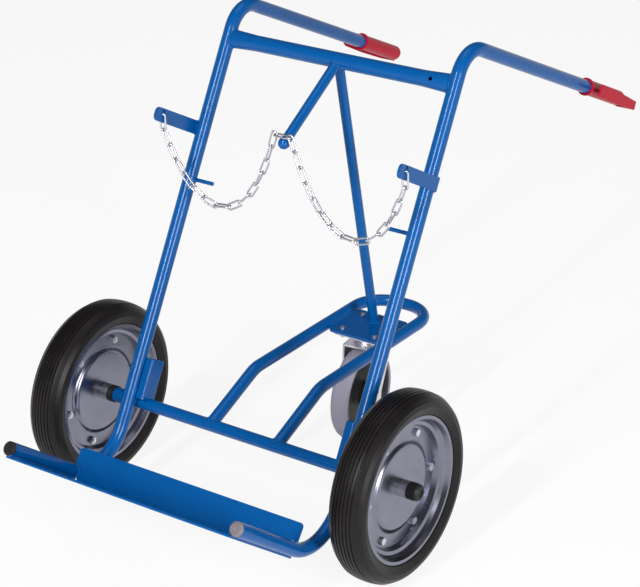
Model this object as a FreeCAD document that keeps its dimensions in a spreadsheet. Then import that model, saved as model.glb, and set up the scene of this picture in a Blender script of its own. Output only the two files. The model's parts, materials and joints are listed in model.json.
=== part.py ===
import FreeCAD, Part
import math
import os
import Sketcher
from FreeCAD import Placement, Rotation, Vector

# Two-cylinder gas trolley resting on its main wheels and rear castor, so the frame leans back.
# X runs across the trolley, Y backwards, Z up. Lengths are in mm and angles in degrees.
doc = FreeCAD.newDocument("gas_cylinder_trolley")
sheet = doc.addObject("Spreadsheet::Sheet", "Sizes")

SIZES = [
    ("wheel_od", 370, "main wheel over the tread"),
    ("tyre_width", 76, "main tyre over the side walls"),
    ("tyre_height", 42, "main tyre outside the rim flange"),
    ("bolt_inset", 38, "rim flange to the bolt circle"),
    ("hub_od", 34, "hub sleeve"),
    ("hub_length", 54, "hub sleeve"),
    ("axle_od", 20, "axle shaft"),
    ("stub_length", 34.5, "axle stubs beside the axle tube"),
    ("upright_spacing", 532, "between the axes of the uprights"),
    ("side_tube_od", 28, "side tubes"),
    ("tube_wall", 2, "all tubes"),
    ("lean", 30.55, "uprights from the vertical"),
    ("handle_drop", 26.9, "handles below the level"),
    ("handle_splay", 1.4, "each handle outwards from straight back"),
    ("toe_angle", 82.3, "between the toe tubes and the uprights"),
    ("toe_drop", 171, "axle to the lower corner, along the upright"),
    ("upright_rise", 824, "axle to the upper corner, along the upright"),
    ("crossbar_drop", 78, "upper corner to the top crossbar, along the upright"),
    ("crossbar_od", 32, "top crossbar"),
    ("axle_tube_od", 25, "axle tube"),
    ("upper_bend", 60, "axis radius of the upper bend"),
    ("lower_bend", 105, "axis radius of the lower bend"),
    ("grip_start", 488, "upper corner to the grip"),
    ("grip_length", 147, "straight part of the grip sleeve"),
    ("grip_od", 32, "grip sleeve"),
    ("finger_gap", 20, "between the grip sleeve and its knuckle guard"),
    ("guard_tail", 20, "knuckle guard behind the straight part of the sleeve"),
    ("toe_reach", 329, "lower corner to the front edge of the floor plate"),
    ("toe_plate_thickness", 4, "toe plates"),
    ("back_plate_offset", 111, "lower corner to the back plate"),
    ("back_plate_height", 64, "back plate"),
    ("hook_rise", 557, "axle to the chain hooks, along the upright"),
    ("hook_reach", 143, "upright axis to the hook tip"),
    ("hook_height", 27.5, "hook bar"),
    ("hook_thickness", 5, "hook bar"),
    ("pin_rise", 456, "axle to the chain pins, along the upright"),
    ("pin_od", 8, "chain pins"),
    ("post_od", 20, "centre post and rear strut"),
    ("post_reach", 210, "crossbar axis to the end of the post tube"),
    ("post_drop", 30.3, "centre post below the level"),
    ("chain_wire", 4, "chain wire"),
    ("chain_pitch", 32, "inner length of a link"),
    ("chain_inner", 8, "inner width of a link"),
    ("castor_od", 200, "castor wheel"),
    ("castor_height", 232, "floor to the top of the castor"),
    ("castor_back", 434, "axle to the swivel axis"),
    ("castor_trail", 40, "swivel axis to the castor axle"),
    ("castor_width", 40, "castor tyre"),
    ("castor_turn", 6, "castor from straight ahead, about the swivel axis"),
    ("loop_tube_od", 25, "castor loop"),
    ("loop_width", 159, "between the axes of the loop arms"),
    ("loop_length", 566, "axle to the rear of the loop axis"),
    ("loop_kink", 150, "axle to the kink of the arms"),
    ("loop_fall", 1.4, "loop arms below the level, towards the rear"),
    ("bracket_length", 82, "stiffening brackets"),
]


class Size:
    """A length that keeps its value for geometry and its text for expressions."""

    def __init__(self, value, text):
        self.value = value
        self.text = text

    def join(self, other, sign, value):
        return Size(value, f"({self.text} {sign} {as_size(other).text})")

    def __add__(self, other):
        return self.join(other, "+", self.value + float(other))

    def __radd__(self, other):
        return as_size(other) + self

    def __sub__(self, other):
        return self.join(other, "-", self.value - float(other))

    def __rsub__(self, other):
        return as_size(other) - self

    def __mul__(self, other):
        return self.join(other, "*", self.value * float(other))

    def __rmul__(self, other):
        return self * other

    def __truediv__(self, other):
        return self.join(other, "/", self.value / float(other))

    def __neg__(self):
        return self * -1

    def __float__(self):
        return float(self.value)


def as_size(number):
    return number if isinstance(number, Size) else Size(float(number), f"({float(number):.6f})")


for row, (alias, amount, note) in enumerate(SIZES, 1):
    sheet.set(f"A{row}", note)
    sheet.set(f"B{row}", str(amount))
    sheet.setAlias(f"B{row}", alias)
doc.recompute()
S = {alias: Size(float(sheet.get(alias)), f"Sizes.{alias}") for alias, amount, note in SIZES}

X = Vector(1, 0, 0)
Y = Vector(0, 1, 0)
Z = Vector(0, 0, 1)
SIDES = (("left", -1), ("right", 1))
WELD = 0.15
RUN = 0.1
PLAY = 0.4
BOLT = 8
nodes = []


def bind(obj, prop, amount):
    amount = as_size(amount)
    setattr(obj, prop, amount.value)
    obj.setExpression(prop, amount.text)


def at(origin, rotation=None):
    return Placement(origin, rotation or Rotation())


def along(origin, direction):
    return Placement(origin, Rotation(Z, direction))


def axes(origin, first, second):
    return Placement(origin, Rotation(first, second, first.cross(second), "XYZ"))


def node(label, obj):
    obj.Label = label
    nodes.append(obj)
    return obj


def rod(radius, length, place):
    obj = doc.addObject("Part::Cylinder", "Rod")
    bind(obj, "Radius", radius)
    bind(obj, "Height", length)
    obj.Placement = place
    return obj


def block(length, width, height, place):
    obj = doc.addObject("Part::Box", "Block")
    for prop, amount in (("Length", length), ("Width", width), ("Height", height)):
        bind(obj, prop, amount)
    obj.Placement = place
    return obj


def ball(radius, centre):
    obj = doc.addObject("Part::Sphere", "Ball")
    bind(obj, "Radius", radius)
    obj.Placement = at(centre)
    return obj


def hexagon(across, height, place):
    obj = doc.addObject("Part::Prism", "Hexagon")
    obj.Polygon = 6
    bind(obj, "Circumradius", as_size(across) / math.sqrt(3))
    bind(obj, "Height", height)
    obj.Placement = place
    return obj


def fuse(*pieces):
    obj = doc.addObject("Part::MultiFuse", "Fuse")
    obj.Shapes = list(pieces)
    obj.Refine = True
    return obj


def cut(base, *tools):
    for tool in tools:
        obj = doc.addObject("Part::Cut", "Cut")
        obj.Base = base
        obj.Tool = tool
        base = obj
    return base


def common(first, second):
    obj = doc.addObject("Part::Common", "Common")
    obj.Base = first
    obj.Tool = second
    return obj


def pipe(outer, wall, length, place):
    return cut(rod(outer, length, place), rod(outer - wall, length, place))


def group(piece, places):
    """Copies of one piece as separate solids."""
    doc.recompute()
    solids = []
    for place in places:
        solid = piece.Shape.copy()
        solid.Placement = place * solid.Placement
        solids.append(solid)
    obj = doc.addObject("Part::Feature", "Group")
    obj.Shape = Part.makeCompound(solids)
    return obj


def outline_sketch(body, corners):
    """Closed outline of (u, v) corners; a third value is the radius of an arc to the next corner,
    positive when it turns left and negative when it turns right."""
    sketch = body.newObject("Sketcher::SketchObject", "Outline")
    plane = [part for part in body.Origin.OriginFeatures if part.Role == "XY_Plane"][0]
    sketch.AttachmentSupport = (plane, "")
    sketch.MapMode = "FlatFace"
    points = [Vector(float(corner[0]), float(corner[1]), 0) for corner in corners]
    ends = []
    arcs = []
    for index, corner in enumerate(corners):
        first = points[index]
        last = points[(index + 1) % len(points)]
        if len(corner) == 2:
            sketch.addGeometry(Part.LineSegment(first, last))
            ends.append((1, 2))
            continue
        radius = abs(float(corner[2]))
        turn = math.copysign(1, float(corner[2]))
        chord = last - first
        left = Vector(-chord.y, chord.x, 0).normalize() * turn
        centre = (first + last) * 0.5 + left * math.sqrt(radius ** 2 - (chord.Length / 2) ** 2)
        angles = [math.atan2(p.y - centre.y, p.x - centre.x) for p in (first, last)]
        angles = angles if turn > 0 else angles[::-1]
        circle = Part.Circle(centre, Z, radius)
        sketch.addGeometry(Part.ArcOfCircle(circle, angles[0], angles[1]))
        ends.append((1, 2) if turn > 0 else (2, 1))
        arcs.append((index, corner[2] if turn > 0 else -corner[2]))
    count = len(corners)
    for index in range(count):
        follower = (index + 1) % count
        pair = (index, ends[index][1], follower, ends[follower][0])
        sketch.addConstraint(Sketcher.Constraint("Coincident", *pair))
    for index, corner in enumerate(corners):
        for kind, amount, axis in (("DistanceX", corner[0], -2), ("DistanceY", corner[1], -1)):
            spot = (index, ends[index][0])
            if float(amount) == 0:
                sketch.addConstraint(Sketcher.Constraint("PointOnObject", *spot, axis))
                continue
            place = sketch.addConstraint(Sketcher.Constraint(kind, *spot, float(amount)))
            sketch.setExpression(f"Constraints[{place}]", as_size(amount).text)
    for index, radius in arcs:
        place = sketch.addConstraint(Sketcher.Constraint("Radius", index, float(radius)))
        sketch.setExpression(f"Constraints[{place}]", as_size(radius).text)
    return sketch


def pad(corners, thickness, place):
    body = doc.addObject("PartDesign::Body", "Plate")
    feature = body.newObject("PartDesign::Pad", "Pad")
    feature.Profile = outline_sketch(body, corners)
    bind(feature, "Length", thickness)
    body.Tip = feature
    body.Placement = place
    return body


def turned(corners, place):
    """Outline of (distance along, radius) turned about its own X axis."""
    body = doc.addObject("PartDesign::Body", "Turned")
    sketch = outline_sketch(body, corners)
    feature = body.newObject("PartDesign::Revolution", "Revolution")
    feature.Profile = sketch
    feature.ReferenceAxis = (sketch, ["H_Axis"])
    feature.Angle = 360
    body.Tip = feature
    body.Placement = place
    return body


def ring(inner, outer, start, length, place=Placement()):
    end = start + length
    return turned([(start, inner), (end, inner), (end, outer), (start, outer)], place)


def bent_path(corners, radii):
    """Wire through the corners with a tangent arc at each inner one."""
    edges = []
    start = corners[0]
    for before, corner, after, radius in zip(corners, corners[1:], corners[2:], radii):
        radius = float(radius)
        back = (before - corner).normalize()
        ahead = (after - corner).normalize()
        half = back.getAngle(ahead) / 2
        centre = corner + (back + ahead).normalize() * (radius / math.sin(half))
        first = corner + back * (radius / math.tan(half))
        last = corner + ahead * (radius / math.tan(half))
        middle = centre + (corner - centre).normalize() * radius
        edges.append(Part.makeLine(start, first))
        edges.append(Part.Arc(first, middle, last).toShape())
        start = last
    edges.append(Part.makeLine(start, corners[-1]))
    obj = doc.addObject("Part::Feature", "Path")
    obj.Shape = Part.Wire(edges)
    return obj


def swept(path, radius, place):
    circle = doc.addObject("Part::Circle", "Section")
    bind(circle, "Radius", radius)
    circle.Placement = place
    obj = doc.addObject("Part::Sweep", "Sweep")
    obj.Sections = [circle]
    obj.Spine = (path, [f"Edge{index + 1}" for index in range(len(path.Shape.Edges))])
    obj.Solid = True
    return obj


def bent_tube(corners, radii, outer):
    path = bent_path(corners, radii)
    place = along(corners[0], (corners[1] - corners[0]).normalize())
    return cut(swept(path, outer, place), swept(path, outer - S["tube_wall"], place))


# Directions in the side view.
def heading(degrees):
    return Vector(0, math.cos(math.radians(degrees)), math.sin(math.radians(degrees)))


LEAN = float(S["lean"])
UP = heading(90 - LEAN)
AHEAD = heading(180 - LEAN)
TOE = heading(90 - LEAN + float(S["toe_angle"]))
TOE_UP = heading(float(S["toe_angle"]) - LEAN)
HANDLE_UP = heading(90 - float(S["handle_drop"]))
SPLAY = X * math.tan(math.radians(float(S["handle_splay"])))
HANDLES = {sign: (heading(-float(S["handle_drop"])) + SPLAY * sign).normalize() for side, sign in SIDES}
POST = heading(180 + float(S["post_drop"]))
POST_UP = heading(90 + float(S["post_drop"]))

tube_r = S["side_tube_od"] / 2
half_spacing = S["upright_spacing"] / 2
plate = S["toe_plate_thickness"]
grip_r = S["grip_od"] / 2
axle_r = S["axle_od"] / 2
axle_tube_r = S["axle_tube_od"] / 2

# The axle tube lies against the backs of the uprights.
axle_back = tube_r + axle_tube_r + WELD
underside = tube_r + WELD + plate


def from_axle(rise, ahead=0):
    return UP * float(rise) + AHEAD * float(axle_back + ahead)


# The axle is placed so that the outline is centred between the floor plate and the knuckle guards.
guard_end = S["grip_length"] + S["guard_tail"]
guard_in = grip_r + S["finger_gap"]
front = from_axle(-S["toe_drop"]) + TOE * float(S["toe_reach"]) - TOE_UP * float(underside)
rear = from_axle(S["upright_rise"]) + HANDLES[1] * float(S["grip_start"] + guard_end)
rear += HANDLES[1].cross(HANDLE_UP) * float(guard_in)
AXLE = Vector(0, -(front.y + rear.y) / 2, float(S["wheel_od"]) / 2)


def on_upright(x, rise, ahead=0):
    return AXLE + X * float(x) + from_axle(rise, ahead)


def on_toe(x, reach, above=0):
    return on_upright(x, -S["toe_drop"]) + TOE * float(reach) + TOE_UP * float(above)


def on_handle(sign, reach):
    return on_upright(half_spacing * sign, S["upright_rise"]) + HANDLES[sign] * float(reach)


def over_axle(x, back, height):
    return Vector(float(x), AXLE.y + float(back), float(height))


def upright_space(sign):
    """The round space that an upright takes, with room for the weld."""
    start = on_upright(half_spacing * sign, -S["toe_drop"])
    return rod(tube_r + WELD, S["toe_drop"] + S["upright_rise"], along(start, UP))


# Side tubes, their plugs and the grips.
plug_head = 6
tube_end = S["toe_reach"] - plug_head - 2
reach = S["grip_length"]
guard_wall = 4
guard_out = guard_in + guard_wall
sleeve_depth = reach - 5
# The knuckle guard is the overlap of its outlines seen from above, (outwards, back), and from the side.
guard_plan = [
    (guard_in, -3), (guard_in, reach - 10), (guard_in - 8, reach + 2), (0, reach + 2), (0, reach + 12),
    (guard_in - 16, guard_end - 3), (guard_in, guard_end), (guard_out, guard_end - 8), (guard_out, -3),
]
guard_side = [
    (-3, -12), (6, -16), (reach / 2, -18), (guard_end, -17), (guard_end, 0), (reach / 2, 8), (6, 11), (-3, 7),
]
for side, sign in SIDES:
    x = half_spacing * sign
    corners = [on_toe(x, tube_end), on_toe(x, 0), on_handle(sign, 0)]
    corners.append(on_handle(sign, S["grip_start"] + sleeve_depth - 1))
    node(f"{side}_side_tube", bent_tube(corners, (S["lower_bend"], S["upper_bend"]), tube_r))

    bore = tube_r - S["tube_wall"] - RUN
    rim_r = tube_r - 4
    head = [(-20, 0), (-20, bore), (0, bore), (0, tube_r), (plug_head / 2, tube_r), (plug_head, rim_r)]
    head += [(plug_head, rim_r - 2), (plug_head - 1, rim_r - 2.6), (plug_head - 1, rim_r - 4.4)]
    head += [(plug_head, rim_r - 5), (plug_head, 0)]
    node(f"{side}_toe_plug", turned(head, axes(on_toe(x, tube_end), TOE, TOE_UP)))

    inside = tube_r + RUN
    collar = grip_r + 2.5
    sleeve = [(0, inside), (0, collar), (4, collar), (7, grip_r), (reach, grip_r, -grip_r)]
    sleeve += [(reach + grip_r, 0), (sleeve_depth, 0), (sleeve_depth, inside)]
    way = HANDLES[sign]
    across = way.cross(HANDLE_UP)
    start = on_handle(sign, S["grip_start"])
    body = turned(sleeve, axes(start, way, HANDLE_UP))
    deep = guard_out * 2
    plan = pad(guard_plan, deep, axes(start - HANDLE_UP * float(guard_out) * sign, across * sign, way))
    guard = common(plan, pad(guard_side, deep, axes(start - across * float(guard_out), way, HANDLE_UP)))
    core = rod(inside, sleeve_depth, along(start, way))
    node(f"{side}_grip", cut(fuse(body, guard), core))

# Top crossbar with flattened, taller ends.
bar_r = S["crossbar_od"] / 2
crossbar_rise = S["upright_rise"] - S["crossbar_drop"]
flat_from = half_spacing - 70


def crossbar(inset):
    radius = bar_r - inset
    flattened = (1.22, 0.7)
    plain = (1, 1)
    stations = [(-half_spacing, flattened), (-flat_from, plain)]
    stations += [(flat_from, plain), (half_spacing, flattened)]
    sections = []
    for x, (tall, deep) in stations:
        section = doc.addObject("Part::Ellipse", "Section")
        bind(section, "MajorRadius", radius * tall + 0.001)
        bind(section, "MinorRadius", radius * deep)
        section.Placement = axes(on_upright(x, crossbar_rise), UP, AHEAD)
        sections.append(section)
    obj = doc.addObject("Part::Loft", "Loft")
    obj.Sections = sections
    obj.Solid = True
    obj.Ruled = True
    return obj


vent_r = 4
vent_inset = 48
vent = rod(vent_r, bar_r * 2, along(on_upright(half_spacing - vent_inset, crossbar_rise), AHEAD))
bar = cut(crossbar(0), crossbar(S["tube_wall"]), upright_space(-1), upright_space(1), vent)
node("top_crossbar", bar)
bar_space = rod(bar_r + WELD, flat_from * 2, along(on_upright(-flat_from, crossbar_rise), X))

# Centre post, its cap and the rear strut.
post_r = S["post_od"] / 2
bar_axis = on_upright(0, crossbar_rise)
mount_top = S["castor_height"] + 6
strut_foot = over_axle(0, S["castor_back"] + 20, mount_top)
strut_way = (strut_foot - bar_axis).normalize()
strut_length = (strut_foot - bar_axis).Length + float(S["post_od"])
trim = S["post_od"] * 2
below = rod(trim, trim, at(strut_foot - Z * float(trim)))
strut = pipe(post_r, S["tube_wall"], strut_length, along(bar_axis, strut_way))
node("rear_strut", cut(strut, bar_space, below))
strut_space = rod(post_r + WELD, strut_length, along(bar_axis, strut_way))
post = pipe(post_r, S["tube_wall"], S["post_reach"], along(bar_axis, POST))
node("centre_post", cut(post, bar_space, strut_space))
cap_in = post_r - S["tube_wall"] - RUN
cap_r = post_r + 1.5
cap = [(-16, 0), (-16, cap_in), (0, cap_in), (0, cap_r), (6, cap_r), (12, cap_r - 3)]
cap += [(15, cap_r - 8), (15, 0)]
post_end = bar_axis + POST * float(S["post_reach"])
node("centre_post_cap", turned(cap, axes(post_end, POST, POST_UP)))

# Axle tube, stubs, brackets and the axle itself.
bush_flange = 12
washer = 2
hub_end = S["hub_length"] / 2 + bush_flange
axle_tube_end = half_spacing + tube_r + 3
stub_end = axle_tube_end + WELD + S["stub_length"]
half_track = stub_end + washer + PLAY + hub_end
lengthways = along(AXLE - X * float(axle_tube_end), X)
node("axle_tube", pipe(axle_tube_r, S["tube_wall"], axle_tube_end * 2, lengthways))
axle_tube_space = rod(axle_tube_r + WELD, axle_tube_end * 2, lengthways)
axle_end = half_track + hub_end + PLAY + 8
node("axle_shaft", rod(axle_r, axle_end * 2, along(AXLE - X * float(axle_end), X)))

bracket_wide = 20
bracket_deep = 40
bracket_foot = 8
bracket_front = 3
bracket_round = 4


def rounded(wide, deep, radius):
    """Rectangle about the origin with rounded corners."""
    a = wide / 2 - radius
    b = deep / 2 - radius
    shape = [(-a, -b - radius), (a, -b - radius, radius), (a + radius, -b), (a + radius, b, radius)]
    return shape + [(a, b + radius), (-a, b + radius, radius), (-a - radius, b), (-a - radius, -b, radius)]


washers = []
for side, sign in SIDES:
    outward = axes(AXLE, X * sign, Y * sign)
    stub = ring(axle_r + RUN, tube_r + 1, axle_tube_end + WELD, S["stub_length"], outward)
    node(f"{side}_axle_stub", stub)
    washers.append(axes(AXLE + X * float(stub_end) * sign, X * sign, Y * sign))
    washers.append(axes(AXLE + X * float(half_track + hub_end + PLAY) * sign, X * sign, Y * sign))

    x = (half_spacing - tube_r - WELD - bracket_wide / 2) * sign
    foot = axes(on_upright(x, bracket_foot, bracket_front - bracket_deep / 2), X * -1, AHEAD)
    outer = pad(rounded(bracket_wide, bracket_deep, bracket_round), S["bracket_length"], foot)
    hollow_wide = bracket_wide - S["tube_wall"] * 2
    hollow_deep = bracket_deep - S["tube_wall"] * 2
    hollow = pad(rounded(hollow_wide, hollow_deep, 2), S["bracket_length"], foot)
    node(f"{side}_axle_bracket", cut(outer, hollow, axle_tube_space))
node("axle_washers", group(ring(axle_r + RUN, S["hub_od"] / 2, 0, washer), washers))
cap = [(washer, axle_r + RUN), (8.6, axle_r + RUN), (8.6, 0), (9.2, 0), (9.2, 8), (11, 8)]
cap += [(11, 13), (8, 16), (washer, 16)]
node("axle_caps", group(turned(cap, Placement()), washers[1::2]))

# Main wheels: u runs outwards from the middle plane, where the two rim halves meet.
tread_r = S["wheel_od"] / 2
wall_height = S["tyre_height"]
flange_r = tread_r - wall_height
bolt_r = flange_r - S["bolt_inset"]
wide = S["tyre_width"] / 2
seat = wide - 10
skin = 2.5
face = WELD + skin
bore = S["hub_od"] / 2 + RUN
# Each half swells out over a rounded shoulder to its flat middle, and steps out twice to its flange.
swell = 8
half_swell = (swell - WELD) / 2
shoulder = 8
shoulder_at = bolt_r - 20
shoulder_r = (shoulder ** 2 + half_swell ** 2) / (half_swell * 2)
step = 12
dish = [
    (swell, bore), (swell, shoulder_at - shoulder, shoulder_r), (WELD + half_swell, shoulder_at, -shoulder_r),
    (WELD, shoulder_at + shoulder), (WELD, bolt_r + 13), (step - 1, bolt_r + 18), (step + 1, flange_r - 13),
    (seat - 7, flange_r - 8), (seat, flange_r - 5), (seat, flange_r),
    (seat + skin, flange_r), (seat + skin, flange_r - 6.5), (seat - 6, flange_r - 10.5),
    (step + 1 + skin, flange_r - 15), (step - 1 + skin, bolt_r + 16.5), (face, bolt_r + 12),
    (face, shoulder_at + shoulder, shoulder_r), (face + half_swell, shoulder_at, -shoulder_r),
    (swell + skin, shoulder_at - shoulder), (swell + skin, bore),
]
spots = [Rotation(X, 25 + 60 * turn) for turn in range(6)]
hole_places = [Placement(Vector(), spin) * along(Vector(-float(wide), 0, float(bolt_r)), X) for spin in spots]
bolt_holes = group(rod(BOLT / 2 + PLAY, wide * 2, Placement()), hole_places)
rim_half = cut(turned(dish, Placement()), bolt_holes)


def crown(u, depth=0):
    return (u, tread_r - u * u / 220 - depth)


# Tyre carcass: bead, side wall and shoulder, then the ribs of the tread.
carcass = [
    (seat - 8, flange_r + 3), (seat - 7, flange_r - 7.7), (seat - 0.4, flange_r - 4.9),
    (seat - 0.4, flange_r + 0.6), (seat + 4, flange_r + 2), (wide - 3, flange_r + wall_height * 0.21),
    (wide, flange_r + wall_height * 0.41), (wide - 1.5, flange_r + wall_height * 0.625),
    (wide - 7, flange_r + wall_height * 0.8), (wide - 15, flange_r + wall_height * 0.92),
]
groove = 2
for share in (0.5, 0.3, 0.1):
    middle = wide * share
    carcass += [crown(middle + 1.3), crown(middle + 0.7, groove)]
    carcass += [crown(middle - 0.7, groove), crown(middle - 1.3)]
inner_wall = [
    (wide - 22, flange_r + wall_height * 0.83), (wide - 12, flange_r + wall_height * 0.7),
    (wide - 8, flange_r + wall_height * 0.42), (wide - 10, flange_r + wall_height * 0.22),
]


def mirrored(corners):
    return [(-corner[0], corner[1]) for corner in corners[::-1]]


tyre = turned(carcass + mirrored(carcass) + mirrored(inner_wall) + inner_wall, Placement())
sleeve = ring(S["hub_od"] / 2 - 4, S["hub_od"] / 2, -S["hub_length"] / 2, S["hub_length"])
bush_r = S["hub_od"] / 2 - 4 - 0.05
from_mid = S["hub_length"] / 2
bush_depth = 20
bush = [(from_mid - bush_depth, axle_r + RUN), (hub_end, axle_r + RUN), (hub_end, S["hub_od"] / 2)]
bush += [(from_mid, S["hub_od"] / 2), (from_mid, bush_r), (from_mid - bush_depth, bush_r)]
hub_bush = turned(bush, Placement())
bolt_shank = rod(BOLT / 2, face * 2 + 9, along(X * -(face + 9), X))
bolt = fuse(bolt_shank, hexagon(13, 5.3, along(X * face, X)))
nut_bore = rod(BOLT / 2 + 0.05, 20, along(X * -(face + 12), X))
nut = cut(hexagon(13, 6.5, along(X * -(face + 6.5), X)), nut_bore)
bolt_places = [Placement(Vector(), spin) * at(Vector(0, 0, float(bolt_r))) for spin in spots]

turn_over = Placement(Vector(), Rotation(spots[0].multVec(Z), 180))
for side, sign in SIDES:
    place = axes(AXLE + X * float(half_track) * sign, X * sign, Y * sign)
    node(f"{side}_tyre", group(tyre, [place]))
    node(f"{side}_rim_outer", group(rim_half, [place]))
    node(f"{side}_rim_inner", group(rim_half, [place * turn_over]))
    node(f"{side}_hub_sleeve", group(sleeve, [place]))
    node(f"{side}_hub_bushes", group(hub_bush, [place, place * turn_over]))
    node(f"{side}_rim_bolts", group(bolt, [place * spot for spot in bolt_places]))
    node(f"{side}_rim_nuts", group(nut, [place * spot for spot in bolt_places]))

# Toe plates: the back plate stands between the toe tubes and reaches out over them.
half_plate = half_spacing - tube_r / 4
toe_back = S["back_plate_offset"]
corner = on_toe(half_plate, toe_back, -underside)
node("toe_plate", block(half_plate * 2, S["toe_reach"] - toe_back, plate, axes(corner, X * -1, TOE)))
half_back = half_spacing - tube_r - WELD * 2
# The lower bend starts just in front of the back plate, so the tubes climb a little where they pass it.
bend_reach = S["lower_bend"] * math.tan(math.radians(90 - float(S["toe_angle"]) / 2))
climb = max(float(bend_reach - toe_back), 0) ** 2 / float(S["lower_bend"] * 2)
over_tube = (tube_r + WELD) * 2 + climb
tall = S["back_plate_height"]
round_r = 8
back = [(-half_back, 0), (half_back, 0), (half_back, over_tube), (half_spacing, over_tube)]
back += [(half_spacing, tall - round_r, round_r), (half_spacing - round_r, tall)]
back += [(round_r - half_spacing, tall, round_r), (-half_spacing, tall - round_r)]
back += [(-half_spacing, over_tube), (-half_back, over_tube)]
foot = on_toe(0, S["back_plate_offset"], -tube_r - WELD)
node("toe_back_plate", pad(back, plate, axes(foot, X, TOE_UP)))

# Chain hooks on the outer sides of the uprights and chain pins on the inner sides.
tip = S["hook_reach"]
half_bar = S["hook_height"] / 2
tip_r = 11
slot_r = 3.2
slot_at = tip - tip_r * 2
hook_rear = -4
hook = [
    (hook_rear, -half_bar), (tip - tip_r, -half_bar, tip_r), (tip, tip_r - half_bar),
    (tip, half_bar - tip_r, tip_r), (tip - tip_r, half_bar), (slot_at + slot_r, half_bar),
    (slot_at + slot_r, slot_r, -slot_r), (slot_at, 0, -slot_r), (slot_at - slot_r, slot_r),
    (slot_at - slot_r, half_bar), (hook_rear, half_bar),
]
hook_face = half_spacing + tube_r + WELD
pin_r = S["pin_od"] / 2
pin_reach = tube_r + 46
for side, sign in SIDES:
    start = hook_face + S["hook_thickness"] if sign > 0 else -hook_face
    place = axes(on_upright(start, S["hook_rise"]), AHEAD, UP)
    node(f"{side}_chain_hook", pad(hook, S["hook_thickness"], place))
    root = on_upright(half_spacing * sign, S["pin_rise"])
    shank = rod(pin_r, pin_reach - pin_r, along(root, X * -sign))
    end = ball(pin_r, root - X * sign * float(pin_reach - pin_r))
    node(f"{side}_chain_pin", cut(fuse(shank, end), upright_space(sign)))

# Castor loop and mount plate.
loop_r = S["loop_tube_od"] / 2
arm = S["loop_width"] / 2
fall = math.tan(math.radians(float(S["loop_fall"])))


def on_loop(x, back):
    """Point of a loop arm, which passes the swivel axis just above the castor."""
    return over_axle(x, back, float(S["castor_height"]) + 5 + fall * float(S["castor_back"] - back))


corners = []
for sign in (-1, 1):
    x = arm * sign
    way = [over_axle(x, 0, AXLE.z), on_loop(x, S["loop_kink"]), on_loop(x, S["loop_length"])]
    corners += way if sign < 0 else way[::-1]
rear_bend = S["loop_width"] * 0.42
loop = bent_tube(corners, (80, rear_bend, rear_bend, 80), loop_r)
node("castor_loop", cut(loop, axle_tube_space))

swivel = over_axle(0, S["castor_back"], 0)


def over_swivel(height, x=0, y=0):
    return swivel + Vector(float(x), float(y), float(height))


def bolt_spots(height):
    return [at(over_swivel(height, 40 * i, 37 * j)) for i in (-1, 1) for j in (-1, 1)]


top = S["castor_height"]
bolt_bores = group(rod(BOLT / 2 + 0.5, 20, Placement()), bolt_spots(top - 8))
mount_half = arm - loop_r - 0.4
mount_long = 110
mount = pad(rounded(mount_half * 2, mount_long, 14), 6, at(over_swivel(top)))
node("castor_mount_plate", cut(mount, bolt_bores))
top_wide = 110
top_long = 104
top_plate = pad(rounded(top_wide, top_long, 8), 4, at(over_swivel(top - 4)))
node("castor_top_plate", cut(top_plate, bolt_bores))
dome = [(0, 0), (0, 6.5), (1.6, 6.5), (3.4, 4), (4, 0)]
head = turned(dome, axes(Vector(), Z, X))
carriage = fuse(head, rod(BOLT / 2, 20, at(Z * -20)))
node("castor_bolts", group(carriage, bolt_spots(top + 6)))
plate_nut = cut(hexagon(13, 6.5, at(Z * -6.5)), rod(BOLT / 2 + 0.05, 20, at(Z * -12)))
node("castor_nuts", group(plate_nut, bolt_spots(top - 4)))

# Swivel head: u runs upwards from the floor.
upward = axes(over_swivel(0), Z, X)
node("castor_upper_race", ring(20, 30, top - 10, 6, upward))
node("castor_kingpin", ring(0, 6, top - 31, 27, upward))
king_nut = cut(hexagon(18, 4, at(over_swivel(top - 30.5))), rod(6.05, 30, at(over_swivel(top - 45))))
node("castor_kingpin_nut", king_nut)
cup = [(top - 22, 7), (top - 16.5, 7), (top - 16.5, 31), (top - 9, 31), (top - 9, 33), (top - 22, 33)]
node("castor_swivel_cup", turned(cup, upward))
ball_places = [Placement(over_swivel(top - 13.4), Rotation(Z, 22.5 * turn)) for turn in range(16)]
node("castor_balls", group(ball(3, X * 25), ball_places))

# Castor fork and axle, turned about the swivel axis.
ACROSS = Rotation(Z, float(S["castor_turn"])).multVec(X)
ASTERN = Rotation(Z, float(S["castor_turn"])).multVec(Y)


def on_fork(x, back, height):
    return swivel + ACROSS * float(x) + ASTERN * float(back) + Z * float(height)


castor_r = S["castor_od"] / 2
trail = -S["castor_trail"]
hub_at = on_fork(0, trail, castor_r)
leg_in = S["castor_width"] / 2 + 11
leg = 4
crown_low = top - 26
crown_half = 48
hub_plate = 24
cheek = [
    (trail - hub_plate, castor_r, hub_plate), (trail, castor_r - hub_plate, hub_plate),
    (trail + hub_plate, castor_r), (crown_half, crown_low + leg), (-crown_half, crown_low + leg),
]
legs = [pad(cheek, leg, axes(on_fork(x, 0, 0), ASTERN, Z)) for x in (leg_in, -leg_in - leg)]
crown_corner = on_fork(-leg_in - leg, -crown_half, crown_low)
crown_plate = block((leg_in + leg) * 2, crown_half * 2, leg, axes(crown_corner, ACROSS, ASTERN))
bolt_pin_r = 6
king_hole = rod(bolt_pin_r + RUN, 40, at(over_swivel(crown_low - 10)))
hole_half = leg_in + leg * 2
axle_hole = rod(bolt_pin_r + RUN, hole_half * 2, along(on_fork(-hole_half, trail, castor_r), ACROSS))
node("castor_fork", cut(fuse(crown_plate, *legs), king_hole, axle_hole))

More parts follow.
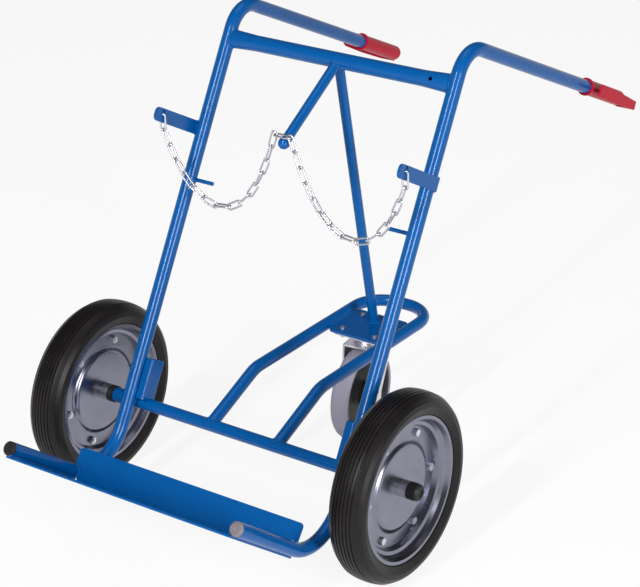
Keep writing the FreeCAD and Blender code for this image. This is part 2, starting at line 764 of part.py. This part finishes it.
crossways = axes(hub_at, ACROSS, ASTERN)
face = leg_in + leg
shank = rod(bolt_pin_r, face * 2 + 12, along(on_fork(-face - 12, trail, castor_r), ACROSS))
node("castor_axle_bolt", fuse(shank, hexagon(18, 7.5, along(on_fork(face, trail, castor_r), ACROSS))))
axle_nut = hexagon(18, 10, along(on_fork(-face - 10, trail, castor_r), ACROSS))
nut_bore = rod(bolt_pin_r + 0.05, 40, along(on_fork(-face - 20, trail, castor_r), ACROSS))
node("castor_axle_nut", cut(axle_nut, nut_bore))
node("castor_axle_sleeve", ring(bolt_pin_r + RUN, 8, 0.1 - leg_in, leg_in * 2 - 0.2, crossways))
hub_half = leg_in - 0.6
node("castor_wheel_bush", ring(8 + RUN, 11, -hub_half, hub_half * 2, crossways))
half_tread = S["castor_width"] / 2
tread_depth = 11
core_r = castor_r - tread_depth
web = [(hub_half, 11.05), (hub_half, 24), (7, 27), (5, 34), (5, core_r - 16), (half_tread - 4, core_r - 9)]
web.append((half_tread - 2, core_r))
node("castor_wheel_core", turned(web + mirrored(web), crossways))
band = [(half_tread - 2.5, core_r + 0.05), (half_tread, core_r + tread_depth / 4)]
band += [(half_tread, castor_r - tread_depth / 2), (half_tread - 3, castor_r - tread_depth / 4)]
band.append((half_tread - 9, castor_r))
node("castor_tyre", turned(band + mirrored(band), crossways))

# Chain link lying along X, with its width along Y.
wire = S["chain_wire"] / 2
bow = S["chain_inner"] / 2 + wire
straight = S["chain_pitch"] - S["chain_inner"]
pieces = []
for sign in (-1, 1):
    half_ring = doc.addObject("Part::Torus", "Bow")
    bind(half_ring, "Radius1", bow)
    bind(half_ring, "Radius2", wire)
    half_ring.Angle3 = 180
    half_ring.Placement = Placement(X * sign * float(straight / 2), Rotation(Z, -90 * sign))
    pieces.append(half_ring)
    pieces.append(rod(wire, straight, along(Vector(-float(straight) / 2, float(bow) * sign, 0), X)))
link = fuse(*pieces)

# Fixed links: one astride each hook bar and one that lies level across the centre post, behind its cap.
slack = 0.7
half_straight = float(straight) / 2
bow_reach = half_straight + float(bow)
slot_x = hook_face + S["hook_thickness"] / 2
post_rest = post_end - POST * 6 + POST_UP * (float(post_r + wire) + WELD)
post_spot = post_rest - Y * float(bow)
fixed = [axes(post_spot, X, Y)]
hangers = {}
for side, sign in SIDES:
    slot = on_upright(slot_x * sign, S["hook_rise"] + slot_r, slot_at)
    fixed.append(axes(slot - Z * bow_reach, Z, X))
    hangers[sign] = slot - Z * (bow_reach + half_straight)
node("chain_end_links", group(link, fixed))


def hanging(start, finish, lengths):
    """Points of a chain that hangs from start to finish, at the given lengths along it."""
    across = Vector(finish.x - start.x, finish.y - start.y, 0)
    span = across.Length
    rise = finish.z - start.z
    total = lengths[-1]
    taut = math.sqrt(total ** 2 - rise ** 2)
    low = span / 60
    high = span * 60
    for step in range(80):
        scale = (low + high) / 2
        if 2 * scale * math.sinh(span / 2 / scale) > taut:
            low = scale
        else:
            high = scale
    middle = span / 2 - scale * math.asinh(rise / (2 * scale * math.sinh(span / 2 / scale)))
    points = []
    for length in lengths:
        reach = middle + scale * math.asinh(length / scale - math.sinh(middle / scale))
        sag = scale * (math.cosh((reach - middle) / scale) - math.cosh(middle / scale))
        points.append(start + across * (reach / span) + Z * sag)
    return points


# Free spans: every second link lies in the plane of the span and the others stand across it.
# The links turn about the middle of the bows of those that lie in the plane.
across_length = 2 * (float(S["chain_pitch"]) - slack) - float(straight)
lengths = [0.0]
for pair in range(7):
    lengths.append(lengths[-1] + across_length)
    lengths.append(lengths[-1] + float(straight))
for side, sign in SIDES:
    post_pivot = post_spot + X * sign * (across_length / 2)
    points = hanging(hangers[sign], post_pivot, lengths)
    flat = (post_pivot - hangers[sign]).cross(Z).normalize()
    places = []
    for index, (first, last) in enumerate(zip(points, points[1:])):
        way = (last - first).normalize()
        second = flat if index % 2 == 0 else flat.cross(way).normalize()
        places.append(axes((first + last) * 0.5, way, second))
    node(f"chain_{side}_span", group(link, places))
    first_way = (points[1] - points[0]).normalize()
    pivot = points[0] + first_way * (across_length / 2 - half_straight)
    print("chain", side, "pivots", [round(v, 3) for v in pivot], [round(v, 3) for v in post_pivot])

doc.recompute()
print("axle", [round(v, 3) for v in AXLE], "castor swivel", [round(v, 3) for v in swivel])
print("castor hub", [round(v, 3) for v in hub_at], "across", [round(v, 6) for v in ACROSS])
print("half track", round(float(half_track), 3))
for obj in doc.Objects:
    if "Invalid" in obj.State or "Error" in obj.State:
        raise RuntimeError(f"{obj.Label} {obj.State}")
os.makedirs("parts", exist_ok=True)
for obj in nodes:
    if obj.Shape.isNull() or not obj.Shape.isValid() or not obj.Shape.Solids:
        raise RuntimeError(f"{obj.Label} has no sound shape")
    obj.Shape.exportStep(f"parts/{obj.Label}.step")
print(len(nodes), "nodes")
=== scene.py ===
import json
import math
import bpy
from mathutils import Matrix, Vector


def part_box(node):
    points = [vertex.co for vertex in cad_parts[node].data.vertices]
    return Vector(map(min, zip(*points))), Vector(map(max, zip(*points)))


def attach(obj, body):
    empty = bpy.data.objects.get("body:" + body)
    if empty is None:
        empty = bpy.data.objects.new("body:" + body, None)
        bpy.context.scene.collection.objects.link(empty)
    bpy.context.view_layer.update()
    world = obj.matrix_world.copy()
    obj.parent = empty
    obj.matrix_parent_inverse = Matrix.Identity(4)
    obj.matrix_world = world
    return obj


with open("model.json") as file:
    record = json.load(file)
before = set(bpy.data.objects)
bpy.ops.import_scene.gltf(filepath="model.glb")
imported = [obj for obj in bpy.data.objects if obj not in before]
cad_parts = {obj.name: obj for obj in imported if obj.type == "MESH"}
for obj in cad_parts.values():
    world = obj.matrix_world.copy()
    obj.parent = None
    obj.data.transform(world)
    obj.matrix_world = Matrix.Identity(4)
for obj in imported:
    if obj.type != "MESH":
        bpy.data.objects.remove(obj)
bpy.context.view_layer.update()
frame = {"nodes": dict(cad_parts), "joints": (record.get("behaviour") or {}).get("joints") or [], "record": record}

MM = 0.001
X_AXIS = Vector((1, 0, 0))
SIDES = {"left": -1, "right": 1}


def centre_of(node):
    """Middle of a node's box."""
    low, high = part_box(node)
    return (low + high) / 2


# Node trees

# Sockets of the Mix node that carry the share and the colours.
MIX_SHARE = 0
MIX_FIRST = 6
MIX_SECOND = 7
MIX_RESULT = 2


class Value:
    """A socket that takes part in sums: each operation adds one Math node."""

    def __init__(self, maker, socket):
        self.maker = maker
        self.socket = socket

    def join(self, operation, first, second=0.0):
        return self.maker.node("ShaderNodeMath", {"operation": operation}, {0: first, 1: second})

    def __add__(self, other):
        return self.join("ADD", self, other)

    def __sub__(self, other):
        return self.join("SUBTRACT", self, other)

    def __rsub__(self, other):
        return self.join("SUBTRACT", other, self)

    def __mul__(self, other):
        return self.join("MULTIPLY", self, other)

    def __pow__(self, other):
        return self.join("POWER", self, other)

    def sine(self):
        return self.join("SINE", self)

    def most(self, other):
        return self.join("MAXIMUM", self, other)

    __radd__ = __add__
    __rmul__ = __mul__


class Nodes:
    """A node tree written as calls: each call adds a node, sets it and links its inputs."""

    def __init__(self, tree):
        self.tree = tree

    def node(self, kind, settings=None, inputs=None, output=0):
        made = self.tree.nodes.new(kind)
        for key, amount in (settings or {}).items():
            setattr(made, key, amount)
        for key, amount in (inputs or {}).items():
            self.feed(made.inputs[key], amount)
        return Value(self, made.outputs[output])

    def feed(self, socket, amount):
        if isinstance(amount, Value):
            self.tree.links.new(amount.socket, socket)
        else:
            socket.default_value = amount

    def background_rays(self):
        """1 for the rays that show the background: to the eye, in a reflection or through glass."""
        camera, glossy, through = (
            self.node("ShaderNodeLightPath", output=f"Is {kind} Ray")
            for kind in ("Camera", "Glossy", "Transmission")
        )
        return camera.most(glossy).most(through)


class Finish(Nodes):
    """A material: constant sockets of its shader by name, then the nodes that vary over the surface."""

    def __init__(self, name, **sockets):
        self.material = bpy.data.materials.new(name)
        self.material.use_nodes = True
        super().__init__(self.material.node_tree)
        self.shader = self.tree.nodes["Principled BSDF"]
        self.show(**sockets)
        self.place = self.node("ShaderNodeTexCoord", output="Object")

    def show(self, **sockets):
        for key, amount in sockets.items():
            self.feed(self.shader.inputs[key.replace("_", " ")], amount)
        return self.material

    def noise(self, size, detail=2.0):
        """Noise from 0 to 1 with lumps of about that size, in metres."""
        inputs = {"Vector": self.place, "Scale": 1 / size, "Detail": detail}
        return self.node("ShaderNodeTexNoise", None, inputs)

    def colours(self, share, first, second):
        """A colour that goes from the first to the second as share goes from 0 to 1."""
        inputs = {MIX_SHARE: share, MIX_FIRST: (*first, 1), MIX_SECOND: (*second, 1)}
        return self.node("ShaderNodeMix", {"data_type": "RGBA"}, inputs, MIX_RESULT)

    def bump(self, height, depth):
        """Relief whose height of 1 stands that many metres proud."""
        return self.node("ShaderNodeBump", None, {"Height": height, "Distance": depth, "Strength": 1.0})

    def radius_from(self, centre, along):
        """Distance from the line through centre in that direction, in metres."""
        offset = self.node("ShaderNodeVectorMath", {"operation": "SUBTRACT"}, {0: self.place, 1: centre})
        across = self.node("ShaderNodeVectorMath", {"operation": "CROSS_PRODUCT"}, {0: offset, 1: along})
        return self.node("ShaderNodeVectorMath", {"operation": "LENGTH"}, {0: across}, "Value")

    def rings(self, centre, along, pitch, waver=0.0):
        """Waves from -1 to 1 in rings about a line, that far apart and drawn with an unsteady hand."""
        radius = self.radius_from(centre, along)
        return (radius * (2 * math.pi / pitch) + waver * self.noise(20 * MM)).sine()


# Finishes

def powder_coat(name, light, dark):
    """Gloss powder coat: a faint orange peel and slight clouds in the colour."""
    finish = Finish(name, IOR=1.5, Specular_IOR_Level=0.27)
    clouds = finish.noise(60 * MM, 3.0)
    peel = finish.noise(2.2 * MM, 1.0)
    return finish.show(
        Base_Color=finish.colours(clouds, light, dark),
        Roughness=0.2 + 0.06 * finish.noise(14 * MM),
        Normal=finish.bump(peel, 0.003 * MM),
    )


def zinc_plate(name, bright, dull, rough):
    """Bright zinc plate with a soft mottle."""
    finish = Finish(name, Metallic=1.0)
    mottle = finish.noise(9 * MM, 3.0)
    return finish.show(
        Base_Color=finish.colours(mottle, bright, dull),
        Roughness=rough + 0.1 * mottle,
        Normal=finish.bump(finish.noise(1.2 * MM), 0.012 * MM),
    )


def spun_zinc(name, bright, dull, centre):
    """Zinc plate on a pressed wheel: fine rings about the hub and a cloudy mottle between the two colours, which
    carry a painted dark and bluish reflection besides the zinc's own tint.
    """
    finish = Finish(name, Metallic=1.0)
    mottle = finish.noise(45 * MM, 3.0)
    rings = finish.rings(centre, X_AXIS, 1.6 * MM, 3.0)
    return finish.show(
        Base_Color=finish.colours(mottle, bright, dull),
        Roughness=0.21 + 0.1 * mottle,
        Normal=finish.bump(rings, 0.003 * MM),
    )


def rubber(name, clean, dusty, centre, along, rough):
    """Moulded rubber: a fine grain, faint mould rings and a breath of dust."""
    finish = Finish(name, IOR=1.5, Specular_IOR_Level=0.22)
    rings = finish.rings(centre, along, 3 * MM)
    dust = finish.noise(35 * MM, 4.0)
    return finish.show(
        Base_Color=finish.colours(dust ** 2, clean, dusty),
        Roughness=rough + 0.15 * dust,
        Normal=finish.bump(finish.noise(0.9 * MM) + 0.5 * rings, 0.03 * MM),
    )


def moulded(name, fresh, worn, rough):
    """Moulded plastic with a fine spark texture."""
    finish = Finish(name, IOR=1.48, Specular_IOR_Level=0.2)
    clouds = finish.noise(18 * MM, 3.0)
    return finish.show(
        Base_Color=finish.colours(clouds, fresh, worn),
        Roughness=rough + 0.12 * clouds,
        Normal=finish.bump(finish.noise(0.7 * MM), 0.02 * MM),
    )


castor_spin = next(joint for joint in frame["joints"] if joint["name"] == "castor_wheel_spin")
castor_axis = Vector(castor_spin["axis"])
castor_hub = centre_of("castor_tyre")
slot_finishes = {
    "blue_paint": powder_coat("blue_powder_coat", (0.0, 0.088, 0.312), (0.0, 0.076, 0.277)),
    "zinc": zinc_plate("zinc_plate", (0.78, 0.77, 0.82), (0.6, 0.59, 0.64), rough=0.27),
    "black_plastic": moulded("black_plastic", (0.012, 0.012, 0.013), (0.022, 0.022, 0.024), rough=0.38),
    "grey_plastic": moulded("grey_plastic", (0.21, 0.19, 0.21), (0.15, 0.135, 0.15), rough=0.42),
    "red_grip": moulded("red_grip", (0.5, 0.002, 0.026), (0.42, 0.002, 0.021), rough=0.3),
    "grey_tyre": rubber(
        "grey_tyre", (0.26, 0.25, 0.31), (0.32, 0.31, 0.37), castor_hub, castor_axis, rough=0.45),
}
# Tyres and rims have rings about their own hub, so each wheel has its own finishes.
wheel_finishes = {}
for side in SIDES:
    hub = centre_of(f"{side}_tyre")
    wheel_finishes[f"{side}_tyre"] = rubber(
        f"{side}_tyre_rubber", (0.006, 0.005, 0.0055), (0.014, 0.011, 0.012), hub, X_AXIS, rough=0.32)
    # Both rim colours are darker than the bright zinc plate, which is a painted dark reflection. They are also
    # bluer, partly the lavender tint of the zinc and partly a painted blue reflection of the frame.
    rim_finish = spun_zinc(f"{side}_rim_zinc_painted_reflection", (0.275, 0.272, 0.34), (0.19, 0.2, 0.25), hub)
    for half in ("inner", "outer"):
        wheel_finishes[f"{side}_rim_{half}"] = rim_finish
for part in frame["record"]["subparts"]:
    name = part["node"]
    materials = frame["nodes"][name].data.materials
    materials.clear()
    materials.append(wheel_finishes.get(name) or slot_finishes[part["material_slot"]])


# Weld beads

def bead_tree():
    """Overlapping flattened drops along a curve, as a hand weld leaves them."""
    tree = bpy.data.node_groups.new("weld_bead", "GeometryNodeTree")
    inputs = {"Path": "Geometry", "Drop radius": "Float", "Drop step": "Float", "Finish": "Material"}
    for label, kind in inputs.items():
        tree.interface.new_socket(label, in_out="INPUT", socket_type=f"NodeSocket{kind}")
    tree.interface.new_socket("Bead", in_out="OUTPUT", socket_type="NodeSocketGeometry")
    made = Nodes(tree)
    path, radius, step, finish = (made.node("NodeGroupInput", output=label) for label in inputs)
    spots = made.node("GeometryNodeResampleCurve", {"mode": "LENGTH"}, {"Curve": path, "Length": step})
    ball = made.node("GeometryNodeMeshIcoSphere", None, {"Radius": radius, "Subdivisions": 2})
    drop = made.node("GeometryNodeSetShadeSmooth", None, {"Geometry": ball})
    along = made.node("GeometryNodeInputTangent")
    turn = made.node("FunctionNodeAlignRotationToVector", {"axis": "X"}, {"Vector": along})
    least = (0.62, 0.85, 0.85)
    most = (0.78, 1.1, 1.1)
    range_of_sizes = {0: least, 1: most, "Seed": 7}
    size = made.node("FunctionNodeRandomValue", {"data_type": "FLOAT_VECTOR"}, range_of_sizes)
    places = {"Points": spots, "Instance": drop, "Rotation": turn, "Scale": size}
    drops = made.node("GeometryNodeInstanceOnPoints", None, places)
    bead = made.node("GeometryNodeRealizeInstances", None, {"Geometry": drops})
    coated = made.node("GeometryNodeSetMaterial", None, {"Geometry": bead, "Material": finish})
    made.feed(tree.nodes.new("NodeGroupOutput").inputs["Bead"], coated)
    return tree


BEAD = bead_tree()
DROP_SPACING = 0.72


def weld(name, paths, drop):
    """Beads of drops of that radius along each path of (points, closed), as one piece of the frame."""
    curve = bpy.data.curves.new(name, "CURVE")
    curve.dimensions = "3D"
    for points, closed in paths:
        spline = curve.splines.new("POLY")
        spline.points.add(len(points) - 1)
        for spot, point in zip(spline.points, points):
            spot.co = (*point, 1)
        spline.use_cyclic_u = closed
    guide = bpy.data.objects.new(f"{name}_guide", curve)
    bpy.context.scene.collection.objects.link(guide)
    modifier = guide.modifiers.new("Bead", "NODES")
    modifier.node_group = BEAD
    paint = slot_finishes["blue_paint"]
    amounts = {"Drop radius": drop, "Drop step": drop * DROP_SPACING, "Finish": paint}
    for socket in BEAD.interface.items_tree:
        if socket.name in amounts:
            modifier[socket.identifier] = amounts[socket.name]
    bpy.context.view_layer.update()
    mesh = bpy.data.meshes.new_from_object(guide.evaluated_get(bpy.context.evaluated_depsgraph_get()))
    bpy.data.objects.remove(guide)
    piece = bpy.data.objects.new(name, mesh)
    bpy.context.scene.collection.objects.link(piece)
    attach(piece, "frame")


# Radii, places and directions of the frame that the welds follow, in its side view.
HALF_SPACING = 266 * MM
TUBE_RADIUS = 14 * MM
AXLE_TUBE_RADIUS = 12.5 * MM
LOOP_TUBE_RADIUS = 12.5 * MM
POST_RADIUS = 10 * MM
PIN_RADIUS = 4 * MM
BAR_RADIUS = 16 * MM
BAR_END_HALF_HEIGHT = BAR_RADIUS * 1.2
BAR_END_HALF_DEPTH = BAR_RADIUS * 0.72
BAR_RISE = 746 * MM
PIN_RISE = 456 * MM
HOOK_RISE = 557 * MM
HOOK_HALF = 14 * MM
CORNER_DROP = 171 * MM
BACK_PLATE_FACE = 115.5 * MM
TOE_END = 326 * MM
ARM_OFFSET = 79.5 * MM
ARM_WAY = Vector((0, 150, 59)).normalized()
LEAN = math.radians(30.55)
TOE_ANGLE = math.radians(82.3)

# Beads: the radius of their drops, and where they lie on the tubes.
BAR_DROPS = 2.0 * MM
TUBE_DROPS = 1.8 * MM
TOE_DROPS = 2.4 * MM
BRACKET_SINK = 0.6 * MM
HOOK_SINK = 0.7 * MM
AXLE_TOUCH = 8 * MM
BRACKET_BEADS = (4.5 * MM, -9 * MM)
BRACKET_BEAD_RISE = 16 * MM
BRACKET_BEAD_LENGTH = 74 * MM
HOOK_BEADS = (7 * MM, -7 * MM)
TOE_BEAD_ARC = (-0.9, 1.4)
SEAM_IN = 9.5 * MM
SEAM_DROP = 12 * MM
MOUNT_MARGIN = 15 * MM
STRUT_HALF_LENGTH = POST_RADIUS * 1.04
STRUT_FOOT_INSET = POST_RADIUS * 1.02
STRUT_RING_LIFT = 0.5 * MM


def heading(turn):
    """Direction in the side view, by its angle up from straight back."""
    return Vector((0, math.cos(turn), math.sin(turn)))


UP = heading(math.pi / 2 - LEAN)
AHEAD = heading(math.pi - LEAN)
TOE_WAY = heading(math.pi / 2 - LEAN + TOE_ANGLE)
TOE_UP = heading(TOE_ANGLE - LEAN)
axle = centre_of("axle_tube")


def on_upright(x, rise, ahead=0.0):
    """Point beside the axis of an upright: that far up it from the axle, and that far ahead of it."""
    return axle + X_AXIS * x + UP * rise + AHEAD * (TUBE_RADIUS + AXLE_TUBE_RADIUS + ahead)


def arc(centre, first, second, start=0.0, end=2 * math.pi, count=32):
    """Points of an ellipse with those half axes, from start to end."""
    turns = [start + (end - start) * index / count for index in range(count)]
    return [centre + first * math.cos(turn) + second * math.sin(turn) for turn in turns]


def line(start, end, count=14):
    """Points at even steps from start to end."""
    return [start.lerp(end, index / count) for index in range(count + 1)]


def meeting(foot, way, first, second, main_way, main_radius):
    """Closed line on the main tube where a branch tube starts, oval with those half axes.

    The branch starts at its foot, on the axis of the main tube.
    """
    slope = way - main_way * way.dot(main_way)
    points = []
    for start in arc(foot, first, second, count=40):
        offset = start - foot
        offset -= main_way * offset.dot(main_way)
        half = offset.dot(slope)
        inside = half * half - slope.dot(slope) * (offset.dot(offset) - main_radius ** 2)
        points.append(start + way * (math.sqrt(max(inside, 0.0)) - half) / slope.dot(slope))
    return points, True


def round_meeting(foot, way, radius, main_way, main_radius):
    """The same line for a round branch tube."""
    first = way.orthogonal().normalized() * radius
    return meeting(foot, way, first, way.cross(first), main_way, main_radius)


bar_centre = on_upright(0, BAR_RISE)
strut_low, strut_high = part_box("rear_strut")
strut_foot = Vector((0, strut_high.y - STRUT_FOOT_INSET, strut_low.z))
strut_way = (strut_foot - bar_centre).normalized()
post_way = (centre_of("centre_post_cap") - bar_centre).normalized()
crossbar_paths = [
    round_meeting(bar_centre, way, POST_RADIUS, X_AXIS, BAR_RADIUS)
    for way in (strut_way, post_way)
]
upright_paths = []
toe_paths = []
for sign in SIDES.values():
    inward = X_AXIS * -sign
    upright_x = HALF_SPACING * sign
    bar_end = on_upright(upright_x, BAR_RISE)
    bar_oval = (UP * BAR_END_HALF_HEIGHT, AHEAD * BAR_END_HALF_DEPTH)
    crossbar_paths.append(meeting(bar_end, inward, *bar_oval, UP, TUBE_RADIUS))
    arm_foot = axle + X_AXIS * ARM_OFFSET * sign
    upright_paths.append(round_meeting(arm_foot, ARM_WAY, LOOP_TUBE_RADIUS, X_AXIS, AXLE_TUBE_RADIUS))
    touch = on_upright(upright_x, 0, -TUBE_RADIUS)
    upright_paths.append((arc(touch, X_AXIS * AXLE_TOUCH, UP * AXLE_TOUCH), True))
    pin_foot = on_upright(upright_x, PIN_RISE)
    upright_paths.append(round_meeting(pin_foot, inward, PIN_RADIUS, UP, TUBE_RADIUS))
    inner_face = upright_x + inward.x * (TUBE_RADIUS - BRACKET_SINK)
    for ahead in BRACKET_BEADS:
        foot = on_upright(inner_face, BRACKET_BEAD_RISE, ahead)
        upright_paths.append((line(foot, foot + UP * BRACKET_BEAD_LENGTH), False))
    outer_face = upright_x - inward.x * (TUBE_RADIUS - HOOK_SINK)
    for ahead in HOOK_BEADS:
        foot = on_upright(outer_face, HOOK_RISE - HOOK_HALF, ahead)
        upright_paths.append((line(foot, foot + UP * HOOK_HALF * 2), False))
    corner = on_upright(upright_x, -CORNER_DROP)
    plate_end = corner + TOE_WAY * BACK_PLATE_FACE
    toe_paths.append((arc(plate_end, inward * TUBE_RADIUS, TOE_UP * TUBE_RADIUS, *TOE_BEAD_ARC), False))
    seam = corner + inward * SEAM_IN - TOE_UP * SEAM_DROP
    toe_paths.append((line(seam + TOE_WAY * BACK_PLATE_FACE, seam + TOE_WAY * TOE_END), False))
weld("crossbar_welds", crossbar_paths, BAR_DROPS)
weld("upright_welds", upright_paths, TUBE_DROPS)
weld("toe_plate_welds", toe_paths, TOE_DROPS)

plate_low, plate_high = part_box("castor_mount_plate")
margin = Vector((0, MOUNT_MARGIN, 0))
ring_centre = strut_foot + Vector((0, 0, STRUT_RING_LIFT))
mount_paths = [(arc(ring_centre, X_AXIS * POST_RADIUS, Vector((0, STRUT_HALF_LENGTH, 0))), True)]
for edge in (plate_low.x, plate_high.x):
    start = Vector((edge, plate_low.y, plate_high.z)) + margin
    end = Vector((edge, plate_high.y, plate_high.z)) - margin
    mount_paths.append((line(start, end), False))
weld("castor_mount_welds", mount_paths, TUBE_DROPS)


# Floor, light and camera

FLOOR_GAP = 0.5 * MM


def plain_floor():
    """Pale paper that shows nearly white and keeps the shadow of the trolley."""
    mesh = bpy.data.meshes.new("floor")
    reach = 30.0
    corners = [(-reach, -reach, 0), (reach, -reach, 0), (reach, reach, 0), (-reach, reach, 0)]
    mesh.from_pydata(corners, [], [(0, 1, 2, 3)])
    finish = Finish("floor_paper", Base_Color=(0.93, 0.93, 0.93, 1), Roughness=0.9)
    white = finish.node("ShaderNodeEmission", None, {"Color": (1, 1, 1, 1), "Strength": 1.0})
    paper = Value(finish, finish.shader.outputs[0])
    whiteness = 0.88
    share = whiteness * finish.background_rays()
    mix = finish.node("ShaderNodeMixShader", None, {0: share, 1: paper, 2: white})
    finish.feed(finish.tree.nodes["Material Output"].inputs["Surface"], mix)
    mesh.materials.append(finish.material)
    floor = bpy.data.objects.new("floor", mesh)
    bpy.context.scene.collection.objects.link(floor)
    floor.location.z = -FLOOR_GAP


def pale_world():
    """Soft light from all round, white to look at; reflections see it dim towards the ceiling."""
    world = bpy.data.worlds.new("studio")
    bpy.context.scene.world = world
    world.use_nodes = True
    sky = Nodes(world.node_tree)
    way = sky.node("ShaderNodeTexCoord", output="Generated")
    height = sky.node("ShaderNodeSeparateXYZ", None, {0: way}, "Z")
    ceiling = {"Value": height, "From Max": 0.3, "To Min": 1.0, "To Max": 0.08}
    dimmed = sky.node("ShaderNodeMapRange", None, ceiling)
    soft = 0.23
    seen = soft + sky.background_rays() * (dimmed - soft)
    strength = seen.most(sky.node("ShaderNodeLightPath", output="Is Camera Ray"))
    background = world.node_tree.nodes["Background"]
    sky.feed(background.inputs["Color"], (1, 1, 1, 1))
    sky.feed(background.inputs["Strength"], strength)


LAMP_TARGET = Vector((0, -0.05, 0.5))


def lamp(name, place, width, height, power):
    """Area lamp that faces the target, with its sides in metres and its power in watts."""
    light = bpy.data.lights.new(name, "AREA")
    light.shape = "RECTANGLE"
    light.size = width
    light.size_y = height
    light.energy = power
    holder = bpy.data.objects.new(name, light)
    bpy.context.scene.collection.objects.link(holder)
    turn = (LAMP_TARGET - Vector(place)).to_track_quat("-Z", "Y")
    holder.matrix_world = Matrix.Translation(place) @ turn.to_matrix().to_4x4()


plain_floor()
pale_world()
# Two strips, left and right of the camera, draw the bright lines along the uprights.
strip = {"width": 0.24, "height": 1.9}
lamp("left_strip", (0.16, -4.0, 2.9), **strip, power=156)
lamp("right_strip", (4.05, -1.9, 1.65), **strip, power=132)
lamp("top_box", (0.0, 0.6, 4.6), width=2.4, height=2.4, power=22)

AZIMUTH = math.radians(35.78)
ELEVATION = math.radians(24.26)
ROLL = math.radians(-1.13)
PITCH = math.radians(-1.4)
CAMERA_FROM_AXLE = Vector((2.354, -2.9361))
CAMERA_HEIGHT = 2.2854
level_right = Vector((math.cos(AZIMUTH), math.sin(AZIMUTH), 0))
ahead_level = Vector((-math.sin(AZIMUTH), math.cos(AZIMUTH), 0))
sight = ahead_level * math.cos(ELEVATION) - Vector((0, 0, math.sin(ELEVATION)))
level_up = level_right.cross(sight)
view_right = level_right * math.cos(ROLL) + level_up * math.sin(ROLL)
view_up = level_up * math.cos(ROLL) - level_right * math.sin(ROLL)
turn = Matrix((view_right, view_up, -sight)).transposed().to_4x4()
camera = bpy.data.cameras.new("camera")
camera.sensor_width = 36
camera.lens = 125.04
camera.shift_x = -0.007
camera.shift_y = -0.0134
view = bpy.data.objects.new("camera", camera)
bpy.context.scene.collection.objects.link(view)
stand = Vector((*(axle.xy + CAMERA_FROM_AXLE), CAMERA_HEIGHT))
view.matrix_world = Matrix.Translation(stand) @ Matrix.Rotation(PITCH, 4, "X") @ turn
bpy.context.scene.camera = view
bpy.context.scene.view_settings.view_transform = "Standard"
